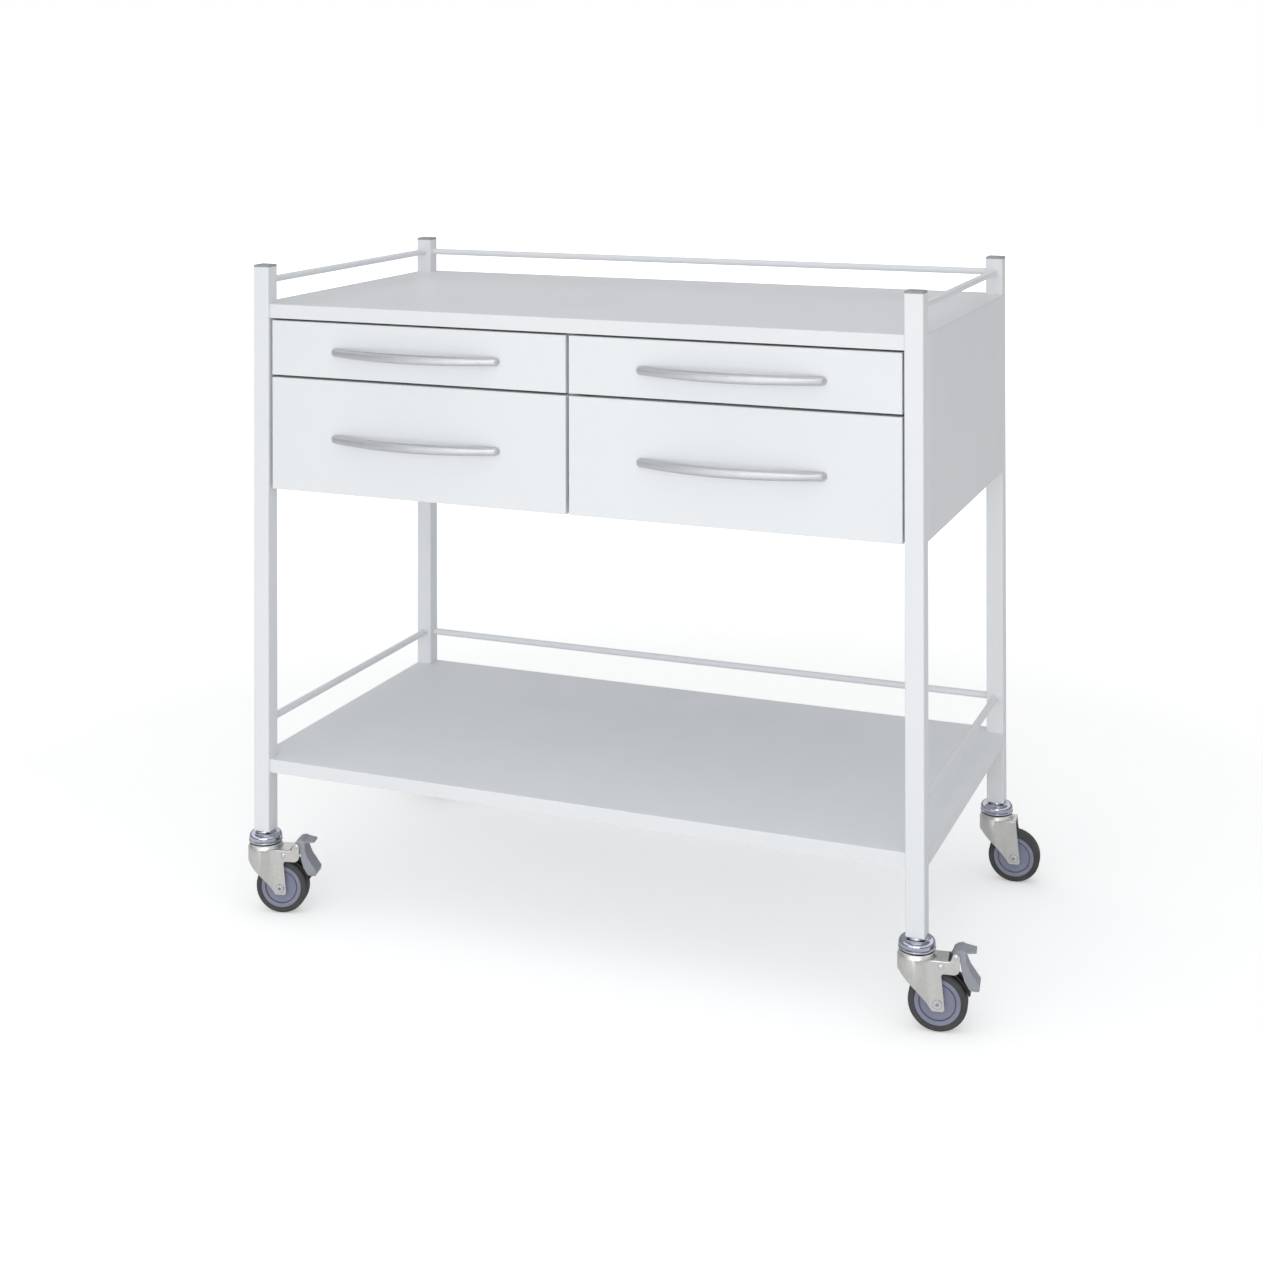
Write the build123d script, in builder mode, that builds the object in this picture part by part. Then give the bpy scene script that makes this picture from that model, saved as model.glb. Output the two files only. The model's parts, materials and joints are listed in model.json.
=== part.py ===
from build123d import *
import os
from math import cos, radians, sin

# Instrument cart: a square-tube frame on four swivel casters, with a deck, a cabinet of
# four drawers on telescopic runners, a lower shelf and gallery rails on three sides.
# Millimetres. The origin is on the floor under the middle of the cart, +X is to the
# right, -Y is to the front, where the drawers open, and +Z is up.

# ---- Driving dimensions ----

# Frame
cart_width = 980.0  # over the posts
cart_depth = 530.0
post_size = 25.0
post_wall = 1.5
post_corner = 2.0
post_bottom = 116.5
post_top = 926.5
cap_height = 3.4
cap_chamfer = 1.2
cap_plug = 14.0
cap_wall = 2.0
plug_play = 0.2
rail_radius = 5.0
upper_rail_z = 906.6
lower_rail_z = 271.4

# Sheet steel
sheet = 1.2
fold_radius = 1.0
deck_top = 873.7
fascia_height = 20.0
fascia_setback = 5.0
fascia_lip = 14.0
shelf_top = 220.3
shelf_height = 19.0
shelf_setback = 4.0

# Cabinet
cabinet_bottom = 610.0
panel_lip = 14.0
back_panel_depth = 18.0
front_play = 1.0  # between a drawer front and the cabinet behind it
divider_width = 16.0

# Drawers
front_setback = 5.0  # behind the posts' front faces
front_thickness = 18.0
front_side_gap = 3.5
front_centre_gap = 4.6
front_lip = 16.0
lower_front_z = (608.6, 769.0)
upper_front_z = (772.5, 850.5)
box_sheet = 1.0
box_rim = 3.0
box_depth = 460.0
lower_box_z = (616.0, 746.0)
upper_box_z = (779.0, 838.0)

# Telescopic runners
runner_thickness = 12.7
runner_sheet = 1.2
runner_gap = 0.8  # between one member's web and the next
runner_lip_play = 0.3
member_half_heights = (17.5, 15.3, 13.1)  # cabinet, intermediate and drawer members
cabinet_member_length = 475.0
sliding_member_length = 456.0
lower_runner_z = 652.0
upper_runner_z = 806.0

# Bow handles
handle_length = 262.0
handle_height = 12.4
handle_drop = 2.0
handle_projection = 30.0
handle_thickness = 8.0
handle_end_depth = 5.0
handle_foot = 18.0
handle_round = 2.2

# Casters, in a frame of their own: the swivel axis is Z and the wheel trails to +X
wheel_radius = 37.5
trail = 26.0
tyre_half_width = 11.5
tyre_shoulder = 5.0
tyre_seat = 29.5
tyre_chamfer = 0.8
hub_ring_inner = 23.5
hub_groove_inner = 22.3
hub_boss_radius = 8.0
hub_boss_half_width = 13.3
hub_ring_half_width = 10.8
hub_disc_half_width = 9.6
hub_groove_half_width = 7.5
hub_slope = 0.5
running_play = 0.05
axle_radius = 3.0
axle_head_radius = 5.6
axle_head_height = 1.8
axle_socket_size = 4.0  # across the flats
axle_nut_size = 10.0  # across the flats
axle_nut_height = 5.0
axle_end_stand = 1.6
axle_chamfer = 0.7

fork_top = 92.5
fork_sheet = 2.4
fork_bend = 2.0
crease_radius = 12.0
shoulder_radius = 25.0
skirt_bottom = 75.0
skirt_end = (-21.0, 74.0)
cheek_half_width = 16.0
cheek_start = 13.0
cheek_knee = (0.0, 56.0)
cheek_toe = 19.3
cheek_heel = 35.3
cheek_top_end = 29.2
cheek_bottom = 28.5
cheek_corner = 4.0
dish_height = 6.0
dish_top_radius = 22.5
dish_hollow_radius = 18.0
dish_hollow_depth = 2.5

stem_radius = 6.0
stem_top = 148.0
stem_rivet_radius = 10.0
stem_rivet_height = 3.0
stem_rivet_gap = 0.3
stem_chamfer = 1.2
socket_height = 30.0

# The swivel head's profile, from the fork up to the post
head_bottom = 99.6
head_radius = 23.9
bead_height = 2.8
bead_groove = 0.9
dome_start = 7.4  # above the head's bottom
dome_bulge = 2.6
dome_top_radius = 16.6
dome_drop = 3.0  # below the post
neck_radius = 13.0
race_inner = 11.0
race_outer = 20.5
race_height = 4.8
ball_radius = 2.5
ball_circle = 15.8
ball_count = 12
ball_gap = 0.1

# Brakes of the front casters, in the same frame
pedal_pin = (49.6, 98.1)
pedal_pin_radius = 2.2
pedal_pin_head = 3.4
shoe_pin = (30.6, 84.4)
shoe_pin_radius = 2.5
shoe_pin_head = 3.9
pin_head_height = 1.3
ear_radius = 4.5
ear_step = 2.0
arm_bottom = 76.0
arm_corner = 8.0
arm_notch = 3.0
arm_plate_end = 39.5
pedal_half_width = 13.3
pedal_wall = 2.0
pedal_barrel = 4.3
pedal_hood = ((46.5, 100.2), (51.0, 104.4), (56.5, 105.8), (61.5, 104.0), (74.5, 103.6))
pedal_face = ((61.5, 104.0), (61.5, 92.0), (66.0, 81.5), (78.8, 63.5), (78.0, 55.5))
pedal_flange_back = ((67.5, 55.5), (59.5, 68.5), (56.3, 80.0), (54.5, 92.0), (46.5, 95.5))
pedal_toe_corner = 4.0
pedal_face_lean = 35.0
hood_tip_half_width = 9.0
hood_tip_corner = 3.0
tongue_corner = 4.0
shoe_half_width = 10.4
shoe_gap = 2.6
shoe_thickness = 2.6
shoe_start_angle = 16.0
shoe_end_angle = 84.0
shoe_boss = 5.2

# ---- Positions that follow from them ----

half_width = cart_width / 2
half_depth = cart_depth / 2
post_x = half_width - post_size / 2
post_y = half_depth - post_size / 2
inside_x = half_width - post_size  # the posts' inner faces
inside_y = half_depth - post_size
panel_top = deck_top - sheet
panel_mid_z = (cabinet_bottom + panel_top) / 2
panel_height = panel_top - cabinet_bottom
front_y = -half_depth + front_setback  # the drawer fronts' outer faces
box_front_y = front_y + front_thickness
axle = (trail, wheel_radius)
dish_top = fork_top + dish_height
arm_end = pedal_pin[0] + ear_radius
cheek_inside = cheek_half_width - fork_sheet

os.makedirs("parts", exist_ok=True)


def keep(piece, name, x=0, y=0, turn=0):
    """Place a finished piece at x, y, turned about Z, label it and write its file."""
    with BuildPart() as placed:
        with Locations(Location((x, y, 0), (0, 0, turn))):
            add(piece.part)
    placed.part.label = name
    export_step(placed.part, f"parts/{name}.step")


def keep_four(piece, name):
    """Write one node that holds a copy of the piece at each of the four posts."""
    with BuildPart() as group:
        with GridLocations(2 * post_x, 2 * post_y, 2, 2):
            add(piece.part)
    keep(group, name)


def folded_pan(plane, width, height, depth, lip):
    """A tray folded from sheet: its skin lies on the plane, centred on its origin, its
    sides run back along the normal, and a lip is turned in all round at the back."""
    with BuildPart() as pan:
        with BuildSketch(plane):
            Rectangle(width, height)
        extrude(amount=depth)
        skin = pan.faces().sort_by_distance(plane.origin)[0]
        fillet(skin.edges(), fold_radius)
        with BuildSketch(plane.offset(sheet)):
            Rectangle(width - 2 * sheet, height - 2 * sheet)
        extrude(amount=depth - 2 * sheet, mode=Mode.SUBTRACT)
        with BuildSketch(plane.offset(depth)):
            Rectangle(width - 2 * lip, height - 2 * lip)
        extrude(amount=-sheet, mode=Mode.SUBTRACT)
    return pan


def notched_outline(setback):
    """The plan of a shelf: flush with the posts at the sides and back, set back at the
    front, and notched round each post."""
    with Locations((0, setback / 2)):
        Rectangle(cart_width, cart_depth - setback)
    with GridLocations(2 * post_x, 2 * post_y, 2, 2):
        Rectangle(post_size, post_size, mode=Mode.SUBTRACT)


# ---- Frame ----

with BuildPart() as post:
    with BuildSketch(Plane.XY.offset(post_bottom)):
        RectangleRounded(post_size, post_size, post_corner)
        Rectangle(post_size - 2 * post_wall, post_size - 2 * post_wall, mode=Mode.SUBTRACT)
    extrude(amount=post_top - post_bottom)

keep(post, "front_left_post", -post_x, -post_y)
keep(post, "front_right_post", post_x, -post_y)
keep(post, "rear_left_post", -post_x, post_y)
keep(post, "rear_right_post", post_x, post_y)

plug_size = post_size - 2 * post_wall - 2 * plug_play
with BuildPart() as post_cap:
    with BuildSketch(Plane.XY.offset(post_top)):
        RectangleRounded(post_size, post_size, post_corner)
    extrude(amount=cap_height)
    chamfer(post_cap.faces().sort_by(Axis.Z)[-1].edges(), length=cap_chamfer)
    with BuildSketch(Plane.XY.offset(post_top)):
        Rectangle(plug_size, plug_size)
        Rectangle(plug_size - 2 * cap_wall, plug_size - 2 * cap_wall, mode=Mode.SUBTRACT)
    extrude(amount=-cap_plug)

keep_four(post_cap, "post_caps")

# Three round rails at each level, welded between the posts; the front stays open
with BuildPart() as gallery_rails:
    with BuildSketch(Plane.XZ.offset(-inside_y)):
        with Locations(*[(x, z) for x in (-post_x, post_x) for z in (lower_rail_z, upper_rail_z)]):
            Circle(rail_radius)
    extrude(amount=2 * inside_y)
    with BuildSketch(Plane.YZ.offset(-inside_x)):
        with Locations((post_y, lower_rail_z), (post_y, upper_rail_z)):
            Circle(rail_radius)
    extrude(amount=2 * inside_x)

keep(gallery_rails, "gallery_rails")

# ---- Shelf, deck and cabinet shell ----

with BuildPart() as lower_shelf:
    with BuildSketch(Plane.XY.offset(shelf_top)):
        notched_outline(shelf_setback)
    extrude(amount=-shelf_height)
    underside = lower_shelf.faces().sort_by(Axis.Z)[0]
    offset(amount=-sheet, openings=underside)
    top_edges = lower_shelf.faces().sort_by(Axis.Z)[-1].edges()
    fillet(top_edges.filter_by(lambda e: e.length > 2 * post_size), fold_radius)

keep(lower_shelf, "lower_shelf")

# The deck is a plate over the cabinet with a fascia folded down at the front
fascia_y = -half_depth + fascia_setback
with BuildPart() as upper_deck:
    with BuildSketch(Plane.XY.offset(deck_top)):
        notched_outline(fascia_setback)
    extrude(amount=-sheet)
    with BuildSketch(Plane.YZ.offset(-inside_x)):
        with Locations((fascia_y, deck_top)):
            Rectangle(sheet, -fascia_height, align=(Align.MIN, Align.MAX))
        with Locations((fascia_y, deck_top - fascia_height)):
            Rectangle(fascia_lip, sheet, align=(Align.MIN, Align.MIN))
    extrude(amount=2 * inside_x)
    top_edges = upper_deck.faces().sort_by(Axis.Z)[-1].edges()
    fillet(top_edges.filter_by(lambda e: e.length > 2 * post_size), fold_radius)

keep(upper_deck, "upper_deck")

left_skin = Plane(origin=(-half_width, 0, panel_mid_z), x_dir=(0, 1, 0), z_dir=(1, 0, 0))
left_side_panel = folded_pan(left_skin, 2 * inside_y, panel_height, post_size, panel_lip)
keep(left_side_panel, "left_side_panel")

right_skin = Plane(origin=(half_width, 0, panel_mid_z), x_dir=(0, 1, 0), z_dir=(-1, 0, 0))
right_side_panel = folded_pan(right_skin, 2 * inside_y, panel_height, post_size, panel_lip)
keep(right_side_panel, "right_side_panel")

back_skin = Plane(origin=(0, half_depth, panel_mid_z), x_dir=(1, 0, 0), z_dir=(0, -1, 0))
back_panel = folded_pan(back_skin, 2 * inside_x, panel_height, back_panel_depth, panel_lip)
keep(back_panel, "back_panel")

# The floor and the divider run from behind the drawer fronts to the back panel
cabinet_front_y = box_front_y + front_play
cabinet_rear_y = half_depth - back_panel_depth
cabinet_depth = cabinet_rear_y - cabinet_front_y
cabinet_mid_y = (cabinet_front_y + cabinet_rear_y) / 2

with BuildPart() as cabinet_floor:
    with BuildSketch(Plane.XY.offset(cabinet_bottom)):
        with Locations((0, cabinet_mid_y)):
            Rectangle(2 * inside_x, cabinet_depth)
    extrude(amount=sheet)

keep(cabinet_floor, "cabinet_floor")

with BuildPart() as centre_divider:
    with BuildSketch(Plane.XY.offset(cabinet_bottom + sheet)):
        with Locations((0, cabinet_mid_y)):
            Rectangle(divider_width, cabinet_depth)
    extrude(amount=panel_height - sheet)
    rear_face = centre_divider.faces().sort_by(Axis.Y)[-1]
    offset(amount=-sheet, openings=rear_face)

keep(centre_divider, "centre_divider")

# ---- Telescopic runners ----
# Three nested C-sections: the cabinet member opens to the drawer, the intermediate member
# slides inside it, and the drawer member opens the other way, inside the intermediate one.


def c_section(x_web, x_lips, half_height, z):
    """A C-section with the back of its web at x_web and its lips reaching to x_lips."""
    inner_web = x_web + runner_sheet * (1 if x_lips > x_web else -1)
    with Locations(((x_web + x_lips) / 2, z)):
        Rectangle(abs(x_lips - x_web), 2 * half_height)
    with Locations(((inner_web + x_lips) / 2, z)):
        Rectangle(abs(x_lips - inner_web), 2 * (half_height - runner_sheet), mode=Mode.SUBTRACT)


cabinet_half, intermediate_half, drawer_half = member_half_heights
lip_end = runner_thickness - runner_sheet - runner_lip_play  # how far lips reach

with BuildPart() as cabinet_runners:
    with BuildSketch(Plane.XZ.offset(-cabinet_front_y)):
        for z in (lower_runner_z, upper_runner_z):
            for wall_x, into in (
                (-inside_x, 1),
                (-divider_width / 2, -1),
                (divider_width / 2, 1),
                (inside_x, -1),
            ):
                c_section(wall_x, wall_x + into * lip_end, cabinet_half, z)
    extrude(amount=-cabinet_member_length)

keep(cabinet_runners, "cabinet_runners")

# ---- Drawers ----


def bow_handle(x_mid, z_mid, y_base):
    """An arched flat bar: two feet on the drawer front and a bow standing off it."""
    half = handle_length / 2
    inner_half = half - handle_foot
    with BuildPart() as handle:
        with BuildSketch(Plane.XY.offset(z_mid - handle_height / 2)):
            with BuildLine(Plane.XY.offset(z_mid - handle_height / 2)):
                left_tip = (x_mid - half, y_base - handle_end_depth)
                right_tip = (x_mid + half, y_base - handle_end_depth)
                outer_top = (x_mid, y_base - handle_projection)
                inner_top = (x_mid, y_base - handle_projection + handle_thickness)
                Line((x_mid - inner_half, y_base), (x_mid - half, y_base))
                Line((x_mid - half, y_base), left_tip)
                ThreePointArc(left_tip, outer_top, right_tip)
                Line(right_tip, (x_mid + half, y_base))
                Line((x_mid + half, y_base), (x_mid + inner_half, y_base))
                ThreePointArc((x_mid + inner_half, y_base), inner_top, (x_mid - inner_half, y_base))
            make_face()
        extrude(amount=handle_height)
        rims = handle.faces().filter_by(Plane.XY).edges()
        fillet(rims.filter_by(lambda e: e.center().Y < y_base - 1), handle_round)
    return handle


def drawer(name, side, front_z, box_z, runner_z):
    """One drawer: its box, front and handle, and the moving members of its two runners.
    side is -1 for the left column and 1 for the right one."""
    inner_wall = side * divider_width / 2
    outer_wall = side * inside_x
    box_inner_x = inner_wall + side * runner_thickness
    box_outer_x = outer_wall - side * runner_thickness
    box_width = abs(box_outer_x - box_inner_x)
    box_mid = ((box_inner_x + box_outer_x) / 2, box_front_y + box_depth / 2)

    with BuildPart() as box:
        with BuildSketch(Plane.XY.offset(box_z[0])):
            with Locations(box_mid):
                Rectangle(box_width, box_depth)
        extrude(amount=box_z[1] - box_z[0])
        offset(amount=-box_sheet, openings=box.faces().sort_by(Axis.Z)[-1])
        with BuildSketch(Plane.XY.offset(box_z[1])):
            with Locations(box_mid):
                Rectangle(box_width, box_depth)
                Rectangle(box_width - 2 * box_rim, box_depth - 2 * box_rim, mode=Mode.SUBTRACT)
        extrude(amount=-box_rim)
    keep(box, f"{name}_drawer_box")

    front_inner_x = side * front_centre_gap / 2
    front_outer_x = side * (inside_x - front_side_gap)
    front_mid_x = (front_inner_x + front_outer_x) / 2
    front_mid_z = sum(front_z) / 2
    skin = Plane(origin=(front_mid_x, front_y, front_mid_z), x_dir=(1, 0, 0), z_dir=(0, 1, 0))
    front_width = abs(front_outer_x - front_inner_x)
    front = folded_pan(skin, front_width, front_z[1] - front_z[0], front_thickness, front_lip)
    keep(front, f"{name}_drawer_front")

    keep(bow_handle(front_mid_x, front_mid_z - handle_drop, front_y), f"{name}_handle")

    with BuildPart() as intermediate_runners:
        with BuildSketch(Plane.XZ.offset(-cabinet_front_y)):
            for wall_x, into in ((inner_wall, side), (outer_wall, -side)):
                web = wall_x + into * (runner_sheet + runner_gap)
                c_section(web, wall_x + into * lip_end, intermediate_half, runner_z)
        extrude(amount=-sliding_member_length)
    keep(intermediate_runners, f"{name}_intermediate_runners")

    with BuildPart() as drawer_runners:
        with BuildSketch(Plane.XZ.offset(-cabinet_front_y)):
            for wall_x, into in ((inner_wall, side), (outer_wall, -side)):
                lips = wall_x + into * 2 * (runner_sheet + runner_gap)
                c_section(wall_x + into * runner_thickness, lips, drawer_half, runner_z)
        extrude(amount=-sliding_member_length)
    keep(drawer_runners, f"{name}_drawer_runners")


for level, front_z, box_z, runner_z in (
    ("upper", upper_front_z, upper_box_z, upper_runner_z),
    ("lower", lower_front_z, lower_box_z, lower_runner_z),
):
    drawer(f"{level}_left", -1, front_z, box_z, runner_z)
    drawer(f"{level}_right", 1, front_z, box_z, runner_z)

# ---- Caster mountings, fixed to the posts ----

with BuildPart() as caster_socket:
    with BuildSketch(Plane.XY.offset(post_bottom)):
        Rectangle(plug_size, plug_size)
        Circle(stem_radius + running_play, mode=Mode.SUBTRACT)
    extrude(amount=socket_height)

keep_four(caster_socket, "caster_sockets")

# The stem hangs the fork on a riveted head inside the fork's dish
rivet_top = dish_top - dish_hollow_depth - stem_rivet_gap
with BuildPart() as caster_stem:
    with BuildSketch(Plane.XY.offset(rivet_top - stem_rivet_height)):
        Circle(stem_rivet_radius)
    extrude(amount=stem_rivet_height)
    chamfer(caster_stem.faces().sort_by(Axis.Z)[0].edges(), length=stem_chamfer)
    with BuildSketch(Plane.XY.offset(rivet_top)):
        Circle(stem_radius)
    extrude(amount=stem_top - rivet_top)
    chamfer(caster_stem.faces().sort_by(Axis.Z)[-1].edges(), length=stem_chamfer)

keep_four(caster_stem, "caster_stems")

# The chrome head: a domed cover with a beaded rim, over a ball race
bore = stem_radius + running_play
dome_rim = (head_radius - bead_groove / 2, head_bottom + dome_start)
dome_shoulder = (dome_top_radius, post_bottom - dome_drop)
dome_middle = (head_radius - dome_bulge, (dome_rim[1] + post_bottom) / 2 - bead_groove / 2)
with BuildPart() as swivel_head:
    with BuildSketch(Plane.XZ):
        with BuildLine():
            Polyline(
                (bore, head_bottom),
                (bore, post_bottom),
                (neck_radius, post_bottom),
                (neck_radius, post_bottom - dome_drop),
                dome_shoulder,
            )
            ThreePointArc(dome_shoulder, dome_middle, dome_rim)
            Polyline(
                dome_rim,
                (head_radius, head_bottom + bead_height + 2 * bead_groove),
                (head_radius - bead_groove, head_bottom + bead_height + bead_groove),
                (head_radius, head_bottom + bead_height),
                (head_radius, head_bottom + bead_groove),
                (head_radius - bead_groove, head_bottom),
                (race_outer, head_bottom),
                (race_outer, head_bottom + race_height),
                (race_inner, head_bottom + race_height),
                (race_inner, head_bottom),
                (bore, head_bottom),
            )
        make_face()
    revolve(axis=Axis.Z)

keep_four(swivel_head, "swivel_heads")

with BuildPart() as race_balls:
    with Locations((0, 0, dish_top + ball_radius + ball_gap)):
        with PolarLocations(ball_circle, ball_count):
            Sphere(ball_radius)

keep_four(race_balls, "swivel_bearing_balls")

# ---- Casters ----


def fork(braked):
    """A pressed fork: a round-shouldered plate on the swivel, folded down into two cheeks
    that narrow to the wheel. A braked one carries its cheeks on past the wheel's top,
    as two arms with ears for the pedal's pin."""
    reach = arm_end if braked else cheek_heel
    with BuildPart() as shell:
        with BuildSketch(Plane.XY.offset(fork_top)) as plan:
            with BuildLine():
                ThreePointArc((0, -shoulder_radius), (-shoulder_radius, 0), (0, shoulder_radius))
                Polyline(
                    (0, shoulder_radius),
                    (cheek_start, cheek_half_width),
                    (reach, cheek_half_width),
                    (reach, -cheek_half_width),
                    (cheek_start, -cheek_half_width),
                    (0, -shoulder_radius),
                )
            make_face()
            fillet(plan.vertices().filter_by(lambda v: abs(v.X - cheek_start) < 1), crease_radius)
        extrude(amount=cheek_bottom - fork_top)
        top_edges = shell.faces().sort_by(Axis.Z)[-1].edges().filter_by(GeomType.LINE)
        fillet(top_edges.filter_by(lambda e: e.center().X < reach - 1), fork_bend)
        with BuildSketch(Plane.XY.offset(fork_top - fork_sheet)):
            add(plan.sketch.face().moved(Location((0, 0, -fork_top))))
            offset(amount=-fork_sheet)
            with Locations((reach, 0)):
                Rectangle(4 * fork_sheet, 2 * cheek_inside)
        extrude(amount=-fork_top, mode=Mode.SUBTRACT)
        # The side view: a short skirt in front, then a diagonal edge down to the axle
        with BuildSketch(Plane.XZ):
            add(fork_side_view(braked))
        extrude(amount=shoulder_radius + 1, both=True, mode=Mode.INTERSECT)
        # The dish that stands up to the ball race, hollow beneath
        with Locations((0, 0, fork_top)):
            Cone(
                shoulder_radius, dish_top_radius, dish_height, align=(Align.CENTER, Align.CENTER, Align.MIN)
            )
        with BuildSketch(Plane.XY.offset(fork_top - fork_sheet)):
            Circle(dish_hollow_radius)
        extrude(amount=dish_height + fork_sheet - dish_hollow_depth, mode=Mode.SUBTRACT)
        with BuildSketch(Plane.XY.offset(dish_top)):
            Circle(stem_radius + running_play)
        extrude(amount=-dish_height - fork_sheet, mode=Mode.SUBTRACT)
        if braked:
            # The plate stops short of the arms' ends, where the ears stand up
            with BuildSketch(Plane.XY.offset(fork_top)):
                with Locations((arm_plate_end, 0)):
                    Rectangle(arm_end, 2 * cheek_inside, align=(Align.MIN, Align.CENTER))
            extrude(amount=-fork_sheet, mode=Mode.SUBTRACT)
            for outer_face in (cheek_half_width, -cheek_inside):
                with BuildSketch(Plane.XZ.offset(outer_face)):
                    with Locations(pedal_pin):
                        Circle(ear_radius)
                    Polygon(
                        (pedal_pin[0] - ear_radius, pedal_pin[1]),
                        (arm_end, pedal_pin[1]),
                        (arm_end, arm_bottom + arm_corner),
                        (arm_plate_end + ear_step, fork_top - ear_step),
                        align=None,
                    )
                extrude(amount=-fork_sheet)
            with BuildSketch(Plane.XZ):
                with Locations(pedal_pin):
                    Circle(pedal_pin_radius + running_play)
                with Locations(shoe_pin):
                    Circle(shoe_pin_radius + running_play)
            extrude(amount=shoulder_radius, both=True, mode=Mode.SUBTRACT)
        with BuildSketch(Plane.XZ):
            with Locations(axle):
                Circle(axle_radius + running_play)
        extrude(amount=shoulder_radius, both=True, mode=Mode.SUBTRACT)
    return shell


def fork_side_view(braked):
    """The outline of a cheek with its skirt in front and, if braked, its arm behind."""
    slope = (cheek_heel - cheek_top_end) / (fork_top - cheek_bottom)
    notch = (cheek_heel - slope * (arm_bottom - cheek_bottom), arm_bottom)
    front = -shoulder_radius - 1
    with BuildSketch() as outline:
        with BuildLine():
            Polyline(
                (front, fork_top),
                (front, skirt_bottom),
                skirt_end,
                cheek_knee,
                (cheek_toe, cheek_bottom),
                (cheek_heel, cheek_bottom),
            )
            if braked:
                Polyline(
                    (cheek_heel, cheek_bottom),
                    notch,
                    (arm_end, arm_bottom),
                    (arm_end, fork_top),
                    (front, fork_top),
                )
            else:
                Polyline((cheek_heel, cheek_bottom), (cheek_top_end, fork_top), (front, fork_top))
        make_face()
        fillet(outline.vertices().group_by(Axis.Y)[0], cheek_corner)
        if braked:
            fillet(outline.vertices().sort_by_distance(notch)[0], arm_notch)
            fillet(outline.vertices().sort_by_distance((arm_end, arm_bottom))[0], arm_corner)
    return outline.sketch


plain_fork = fork(False)
braked_fork = fork(True)

# The axle bolt: a socket head in front, and a nut on its end behind
front_cheek = Plane.XZ.offset(cheek_half_width)
rear_cheek = Plane.XZ.offset(-cheek_half_width)
with BuildPart() as axle_bolt:
    with BuildSketch(front_cheek):
        with Locations(axle):
            Circle(axle_head_radius)
    extrude(amount=axle_head_height)
    chamfer(axle_bolt.faces().sort_by(Axis.Y)[0].edges(), length=axle_chamfer)
    with BuildSketch(front_cheek.offset(axle_head_height)):
        with Locations(axle):
            RegularPolygon(axle_socket_size / 2, 6, major_radius=False)
    extrude(amount=-axle_head_height, mode=Mode.SUBTRACT)
    with BuildSketch(front_cheek):
        with Locations(axle):
            Circle(axle_radius)
    extrude(amount=-2 * cheek_half_width - axle_nut_height - axle_end_stand)
    chamfer(axle_bolt.faces().sort_by(Axis.Y)[-1].edges(), length=axle_chamfer)
    with BuildSketch(rear_cheek):
        with Locations(axle):
            RegularPolygon(axle_nut_size / 2, 6, major_radius=False)
    extrude(amount=-axle_nut_height)

wheel_plane = Plane(origin=(trail, 0, wheel_radius), x_dir=(1, 0, 0), z_dir=(0, 0, 1))
wheel_axis = Axis((trail, 0, wheel_radius), (0, 1, 0))


def mirrored_profile(*points):
    """A closed radial profile from the points of its +Y half, in order from the bore out."""
    Polyline(*points, *[(r, -y) for r, y in reversed(points)], close=True)


with BuildPart() as wheel_hub:
    with BuildSketch(wheel_plane):
        with BuildLine():
            mirrored_profile(
                (axle_radius + running_play, hub_boss_half_width),
                (hub_boss_radius - 2 * hub_slope, hub_boss_half_width),
                (hub_boss_radius, hub_disc_half_width),
                (hub_groove_inner - hub_slope, hub_disc_half_width),
                (hub_groove_inner, hub_groove_half_width),
                (hub_ring_inner, hub_groove_half_width),
                (hub_ring_inner + hub_slope, hub_ring_half_width),
                (tyre_seat - hub_slope, hub_ring_half_width),
                (tyre_seat, hub_ring_half_width - hub_slope),
            )
        make_face()
    revolve(axis=wheel_axis)

shoulder_y = tyre_half_width - tyre_shoulder
side_radius = wheel_radius - tyre_shoulder
shoulder_reach = tyre_shoulder * sin(radians(45))
with BuildPart() as tyre:
    with BuildSketch(wheel_plane):
        with BuildLine():
            for half in (1, -1):
                side_y = half * tyre_half_width
                Polyline(
                    (tyre_seat, 0),
                    (tyre_seat, side_y - half * tyre_chamfer),
                    (tyre_seat + tyre_chamfer, side_y),
                    (side_radius, side_y),
                )
                ThreePointArc(
                    (side_radius, side_y),
                    (side_radius + shoulder_reach, half * (shoulder_y + shoulder_reach)),
                    (wheel_radius, half * shoulder_y),
                )
                Line((wheel_radius, half * shoulder_y), (wheel_radius, 0))
        make_face()
    revolve(axis=wheel_axis)

# ---- Brakes ----

# Two long rivets through both arms: one carries the pedal, the other the shoe's lever
with BuildPart() as brake_pins:
    for centre, radius, head in (
        (pedal_pin, pedal_pin_radius, pedal_pin_head),
        (shoe_pin, shoe_pin_radius, shoe_pin_head),
    ):
        for head_plane in (front_cheek.offset(pin_head_height), rear_cheek):
            with BuildSketch(head_plane):
                with Locations(centre):
                    Circle(head)
            extrude(amount=-pin_head_height)
        with BuildSketch(front_cheek):
            with Locations(centre):
                Circle(radius)
        extrude(amount=-2 * cheek_half_width)

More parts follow.
